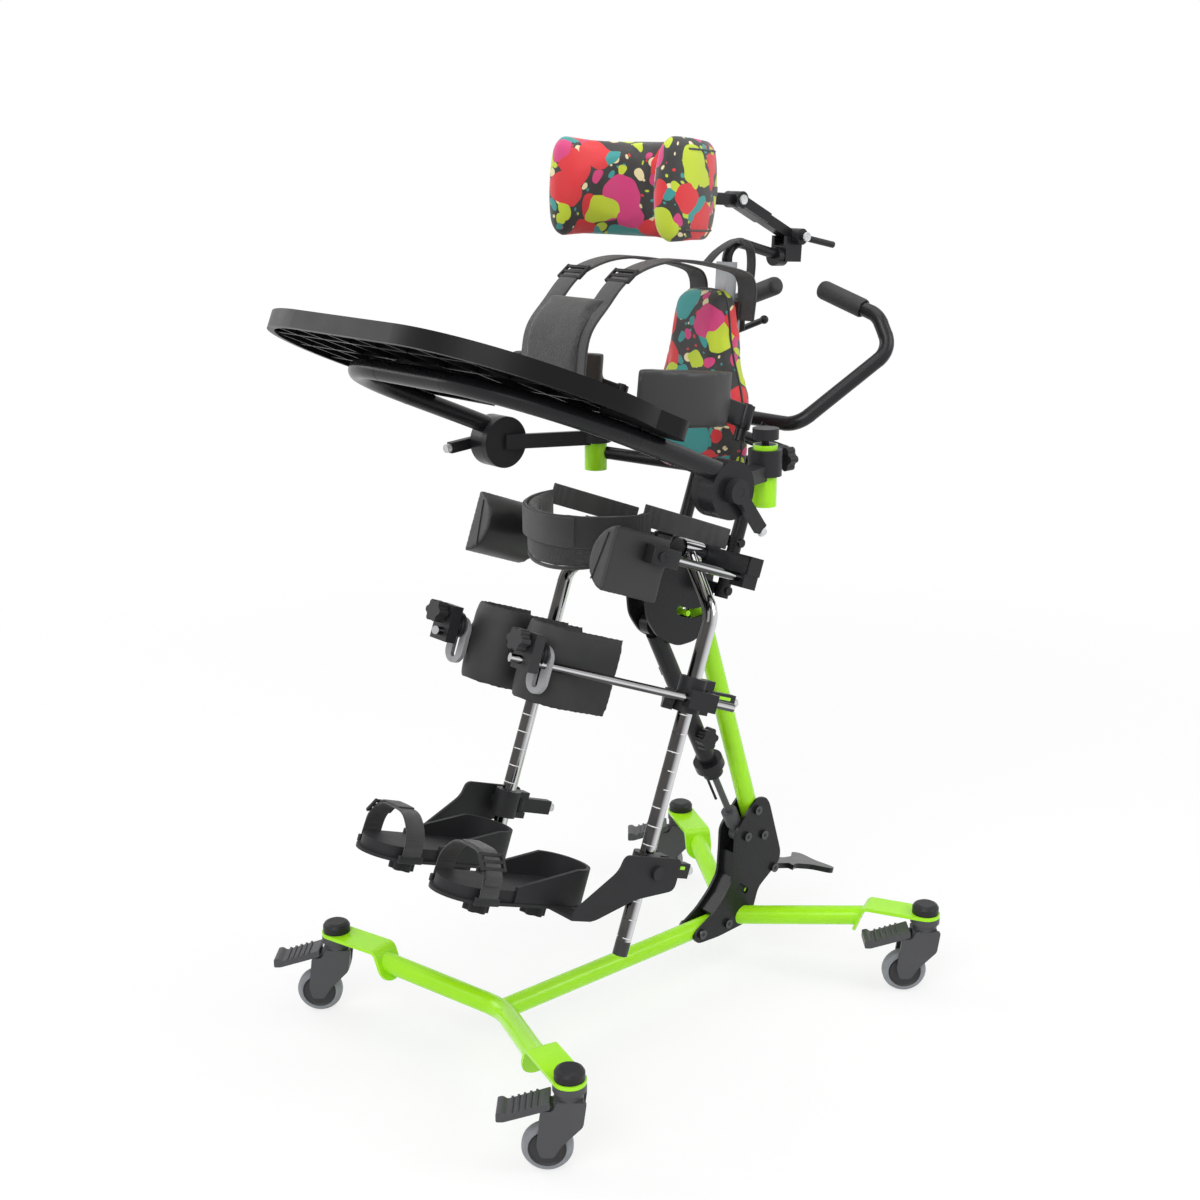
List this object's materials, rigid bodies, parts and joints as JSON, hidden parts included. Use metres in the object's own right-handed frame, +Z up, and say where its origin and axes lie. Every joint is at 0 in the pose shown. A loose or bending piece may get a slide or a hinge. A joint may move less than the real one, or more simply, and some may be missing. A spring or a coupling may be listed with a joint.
{
  "type": "standing frame",
  "caption": "Wheeled standing frame for a child: green tube base and mast, tilting body support with legs, sandals, pads, tray, push handles and head support",
  "frame": {"origin": "on the floor, under the middle of the object's box", "axes": "+Z up, the person faces -Y, their left is +X"},
  "size_m": [0.6143, 0.8476, 1.209],
  "materials": {
    "frame_green": "gloss powder coat",
    "black_plastic": "fine moulded texture",
    "black_metal": "satin black powder coat",
    "chrome": "bright plated",
    "bolt_steel": "zinc plated",
    "grey_tyre": "grey tread on a dark hub",
    "soft_rubber": "moulded soft foam skin",
    "black_fabric": "black woven webbing and mesh",
    "print_fabric": "bright print on black",
    "post_aluminium": "grey anodised"
  },
  "bodies": {
    "base": {"base_frame": "frame_green", "caster_caps": "black_plastic", "mast": "frame_green", "side_plates": "black_metal", "pins_and_bolts": "bolt_steel"},
    "pedal": {"foot_pedal": "black_metal"},
    "gas_rod": {"gas_rod": "bolt_steel"},
    "gas_cylinder": {"gas_cylinder": "black_metal"},
    "tilt": {"hip_bracket": "black_metal", "back_frame": "black_metal", "grips": "soft_rubber", "arm_sockets": "frame_green", "tray_mounts": "black_plastic", "hip_belt": "black_fabric"},
    "hand_lever": {"hand_lever": "black_metal"},
    "tray": {"tray_frame": "black_metal", "tray_top": "black_plastic"},
    "post": {"back_post": "post_aluminium", "back_pad": "print_fabric", "harness": "black_fabric"},
    "head_arm": {"head_arm": "black_metal"},
    "head_link": {"head_link": "black_metal"},
    "head_lever": {"head_lever": "black_plastic"},
    "head_pad": {"head_pad": "print_fabric"},
    "fork_front_left": {"fork_front_left": "black_plastic"},
    "wheel_front_left": {"wheel_front_left": "grey_tyre"},
    "brake_front_left": {"brake_front_left": "black_plastic"},
    "fork_front_right": {"fork_front_right": "black_plastic"},
    "wheel_front_right": {"wheel_front_right": "grey_tyre"},
    "brake_front_right": {"brake_front_right": "black_plastic"},
    "fork_rear_left": {"fork_rear_left": "black_plastic"},
    "wheel_rear_left": {"wheel_rear_left": "grey_tyre"},
    "brake_rear_left": {"brake_rear_left": "black_plastic"},
    "fork_rear_right": {"fork_rear_right": "black_plastic"},
    "wheel_rear_right": {"wheel_rear_right": "grey_tyre"},
    "brake_rear_right": {"brake_rear_right": "black_plastic"},
    "hub_lever_left": {"hub_lever_left": "black_plastic"},
    "hub_lever_right": {"hub_lever_right": "black_plastic"},
    "leg_left": {"leg_tube_left": "chrome"},
    "knee_left": {"knee_clamp_left": "black_plastic"},
    "knee_lever_left": {"knee_lever_left": "black_plastic"},
    "knee_support_left": {"knee_rod_left": "chrome", "knee_mount_left": "black_plastic", "knee_pad_left": "soft_rubber"},
    "foot_left": {"foot_clamp_left": "black_plastic"},
    "foot_lever_left": {"foot_lever_left": "black_plastic"},
    "foot_plate_left": {"foot_plate_left": "black_plastic"},
    "hip_pad_left": {"hip_pad_left": "soft_rubber"},
    "chest_pad_left": {"chest_pad_left": "soft_rubber"},
    "leg_right": {"leg_tube_right": "chrome"},
    "knee_right": {"knee_clamp_right": "black_plastic"},
    "knee_lever_right": {"knee_lever_right": "black_plastic"},
    "knee_support_right": {"knee_rod_right": "chrome", "knee_mount_right": "black_plastic", "knee_pad_right": "soft_rubber"},
    "foot_right": {"foot_clamp_right": "black_plastic"},
    "foot_lever_right": {"foot_lever_right": "black_plastic"},
    "foot_plate_right": {"foot_plate_right": "black_plastic"},
    "hip_pad_right": {"hip_pad_right": "soft_rubber"},
    "chest_pad_right": {"chest_pad_right": "soft_rubber"}
  },
  "joints": [
    {"name": "pedal_press", "type": "hinge", "parent": "base", "child": "pedal", "pos_m": [0.021, 0.303, 0.132], "axis": [-1, 0, 0], "range_deg": [0, 12], "stiffness_Nm_per_rad": 2, "springref_deg": -5.73},
    {"name": "tilt", "type": "hinge", "parent": "base", "child": "tilt", "pos_m": [0.021, 0.13, 0.632], "axis": [-1, 0, 0], "range_deg": [-5, 30]},
    {"name": "gas_swing", "type": "hinge", "parent": "base", "child": "gas_rod", "pos_m": [0.021, 0.242, 0.2], "axis": [1, 0, 0], "range_deg": [-3, 3]},
    {"name": "gas_stroke", "type": "slide", "parent": "gas_rod", "child": "gas_cylinder", "axis": [0, -0.4484, 0.8938], "range_m": [-0.02, 0.06]},
    {"name": "swivel_front_left", "type": "hinge", "parent": "base", "child": "fork_front_left", "pos_m": [0.277, -0.304, 0.11], "axis": [0, 0, 1], "continuous": true},
    {"name": "spin_front_left", "type": "hinge", "parent": "fork_front_left", "child": "wheel_front_left", "pos_m": [0.25893, -0.32406, 0.03175], "axis": [0.7431, -0.6691, 0], "continuous": true},
    {"name": "brake_press_front_left", "type": "hinge", "parent": "fork_front_left", "child": "brake_front_left", "pos_m": [0.2596, -0.32332, 0.0807], "axis": [0.7431, -0.6691, 0], "range_deg": [0, 5]},
    {"name": "swivel_front_right", "type": "hinge", "parent": "base", "child": "fork_front_right", "pos_m": [-0.235, -0.304, 0.11], "axis": [0, 0, 1], "continuous": true},
    {"name": "spin_front_right", "type": "hinge", "parent": "fork_front_right", "child": "wheel_front_right", "pos_m": [-0.25307, -0.32406, 0.03175], "axis": [0.7431, -0.6691, 0], "continuous": true},
    {"name": "brake_press_front_right", "type": "hinge", "parent": "fork_front_right", "child": "brake_front_right", "pos_m": [-0.2524, -0.32332, 0.0807], "axis": [0.7431, -0.6691, 0], "range_deg": [0, 5]},
    {"name": "swivel_rear_left", "type": "hinge", "parent": "base", "child": "fork_rear_left", "pos_m": [0.277, 0.37, 0.11], "axis": [0, 0, 1], "continuous": true},
    {"name": "spin_rear_left", "type": "hinge", "parent": "fork_rear_left", "child": "wheel_rear_left", "pos_m": [0.25893, 0.34994, 0.03175], "axis": [0.7431, -0.6691, 0], "continuous": true},
    {"name": "brake_press_rear_left", "type": "hinge", "parent": "fork_rear_left", "child": "brake_rear_left", "pos_m": [0.2596, 0.35068, 0.0807], "axis": [0.7431, -0.6691, 0], "range_deg": [0, 5]},
    {"name": "swivel_rear_right", "type": "hinge", "parent": "base", "child": "fork_rear_right", "pos_m": [-0.235, 0.37, 0.11], "axis": [0, 0, 1], "continuous": true},
    {"name": "spin_rear_right", "type": "hinge", "parent": "fork_rear_right", "child": "wheel_rear_right", "pos_m": [-0.25307, 0.34994, 0.03175], "axis": [0.7431, -0.6691, 0], "continuous": true},
    {"name": "brake_press_rear_right", "type": "hinge", "parent": "fork_rear_right", "child": "brake_rear_right", "pos_m": [-0.2524, 0.35068, 0.0807], "axis": [0.7431, -0.6691, 0], "range_deg": [0, 5]},
    {"name": "hand_release", "type": "hinge", "parent": "tilt", "child": "hand_lever", "pos_m": [-0.111, 0.32078, 0.92225], "axis": [0, -0.9397, 0.342], "range_deg": [0, 18], "stiffness_Nm_per_rad": 0.6, "springref_deg": -5.73},
    {"name": "tray_tilt", "type": "hinge", "parent": "tilt", "child": "tray", "pos_m": [0.021, -0.02843, 0.79608], "axis": [-1, 0, 0], "range_deg": [-10, 20]},
    {"name": "hub_clamp_left", "type": "hinge", "parent": "tilt", "child": "hub_lever_left", "pos_m": [0.262, -0.02843, 0.79608], "axis": [-1, 0, 0], "range_deg": [0, 40]},
    {"name": "hub_clamp_right", "type": "hinge", "parent": "tilt", "child": "hub_lever_right", "pos_m": [-0.22, -0.02843, 0.79608], "axis": [1, 0, 0], "range_deg": [0, 40]},
    {"name": "back_recline", "type": "hinge", "parent": "tilt", "child": "post", "pos_m": [0.021, 0.18096, 0.78372], "axis": [-1, 0, 0], "range_deg": [-6, 5]},
    {"name": "head_height", "type": "slide", "parent": "post", "child": "head_arm", "axis": [0, 0.0523, 0.9986], "range_m": [0, 0.06]},
    {"name": "head_reach", "type": "hinge", "parent": "head_arm", "child": "head_link", "pos_m": [0.021, 0.31729, 1.07298], "axis": [-1, 0, 0], "range_deg": [0, 15]},
    {"name": "head_angle", "type": "hinge", "parent": "head_link", "child": "head_pad", "pos_m": [0.021, 0.20835, 1.12475], "axis": [-1, 0, 0], "range_deg": [-5, 4]},
    {"name": "head_clamp", "type": "hinge", "parent": "head_arm", "child": "head_lever", "pos_m": [0.021, 0.31729, 1.07298], "axis": [1, 0, 0], "range_deg": [0, 30]},
    {"name": "leg_abduct_left", "type": "hinge", "parent": "tilt", "child": "leg_left", "pos_m": [0.093, 0.06166, 0.67816], "axis": [0, -0.9397, 0.342], "range_deg": [0, 15]},
    {"name": "knee_height_left", "type": "slide", "parent": "leg_left", "child": "knee_left", "axis": [0, 0.342, 0.9397], "range_m": [-0.06, 0.03]},
    {"name": "knee_clamp_left", "type": "hinge", "parent": "knee_left", "child": "knee_lever_left", "pos_m": [0.166, 0.01949, 0.50089], "axis": [0, 0.342, 0.9397], "range_deg": [0, 40]},
    {"name": "knee_depth_left", "type": "slide", "parent": "knee_left", "child": "knee_support_left", "axis": [0.3239, 0.889, -0.3236], "range_m": [-0.02, 0.03]},
    {"name": "foot_height_left", "type": "slide", "parent": "leg_left", "child": "foot_left", "axis": [0, 0.342, 0.9397], "range_m": [-0.06, 0.04]},
    {"name": "foot_clamp_left", "type": "hinge", "parent": "foot_left", "child": "foot_lever_left", "pos_m": [0.166, -0.05986, 0.28288], "axis": [0, 0.342, 0.9397], "range_deg": [0, 40]},
    {"name": "foot_angle_left", "type": "hinge", "parent": "foot_left", "child": "foot_plate_left", "pos_m": [0.186, -0.08429, 0.29177], "axis": [1, 0, 0], "range_deg": [-12, 12]},
    {"name": "hip_depth_left", "type": "slide", "parent": "tilt", "child": "hip_pad_left", "axis": [0, 0.9397, -0.342], "range_m": [-0.03, 0.03]},
    {"name": "chest_swing_left", "type": "hinge", "parent": "tilt", "child": "chest_pad_left", "pos_m": [0.143, 0.10956, 0.85653], "axis": [0, 0.342, 0.9397], "range_deg": [0, 15]},
    {"name": "leg_abduct_right", "type": "hinge", "parent": "tilt", "child": "leg_right", "pos_m": [-0.051, 0.06166, 0.67816], "axis": [0, 0.9397, -0.342], "range_deg": [0, 15]},
    {"name": "knee_height_right", "type": "slide", "parent": "leg_right", "child": "knee_right", "axis": [0, 0.342, 0.9397], "range_m": [-0.06, 0.03]},
    {"name": "knee_clamp_right", "type": "hinge", "parent": "knee_right", "child": "knee_lever_right", "pos_m": [-0.124, 0.01949, 0.50089], "axis": [0, -0.342, -0.9397], "range_deg": [0, 40]},
    {"name": "knee_depth_right", "type": "slide", "parent": "knee_right", "child": "knee_support_right", "axis": [-0.3239, 0.889, -0.3236], "range_m": [-0.02, 0.03]},
    {"name": "foot_height_right", "type": "slide", "parent": "leg_right", "child": "foot_right", "axis": [0, 0.342, 0.9397], "range_m": [-0.06, 0.04]},
    {"name": "foot_clamp_right", "type": "hinge", "parent": "foot_right", "child": "foot_lever_right", "pos_m": [-0.124, -0.05986, 0.28288], "axis": [0, -0.342, -0.9397], "range_deg": [0, 40]},
    {"name": "foot_angle_right", "type": "hinge", "parent": "foot_right", "child": "foot_plate_right", "pos_m": [-0.144, -0.08429, 0.29177], "axis": [1, 0, 0], "range_deg": [-12, 12]},
    {"name": "hip_depth_right", "type": "slide", "parent": "tilt", "child": "hip_pad_right", "axis": [0, 0.9397, -0.342], "range_m": [-0.03, 0.03]},
    {"name": "chest_swing_right", "type": "hinge", "parent": "tilt", "child": "chest_pad_right", "pos_m": [-0.101, 0.10956, 0.85653], "axis": [0, -0.342, -0.9397], "range_deg": [0, 15]}
  ],
  "couplings": [
    {"joint": "gas_swing", "follows": "tilt", "ratio": 0.025},
    {"joint": "gas_stroke", "follows": "tilt", "m_per_rad": 0.0974}
  ]
}
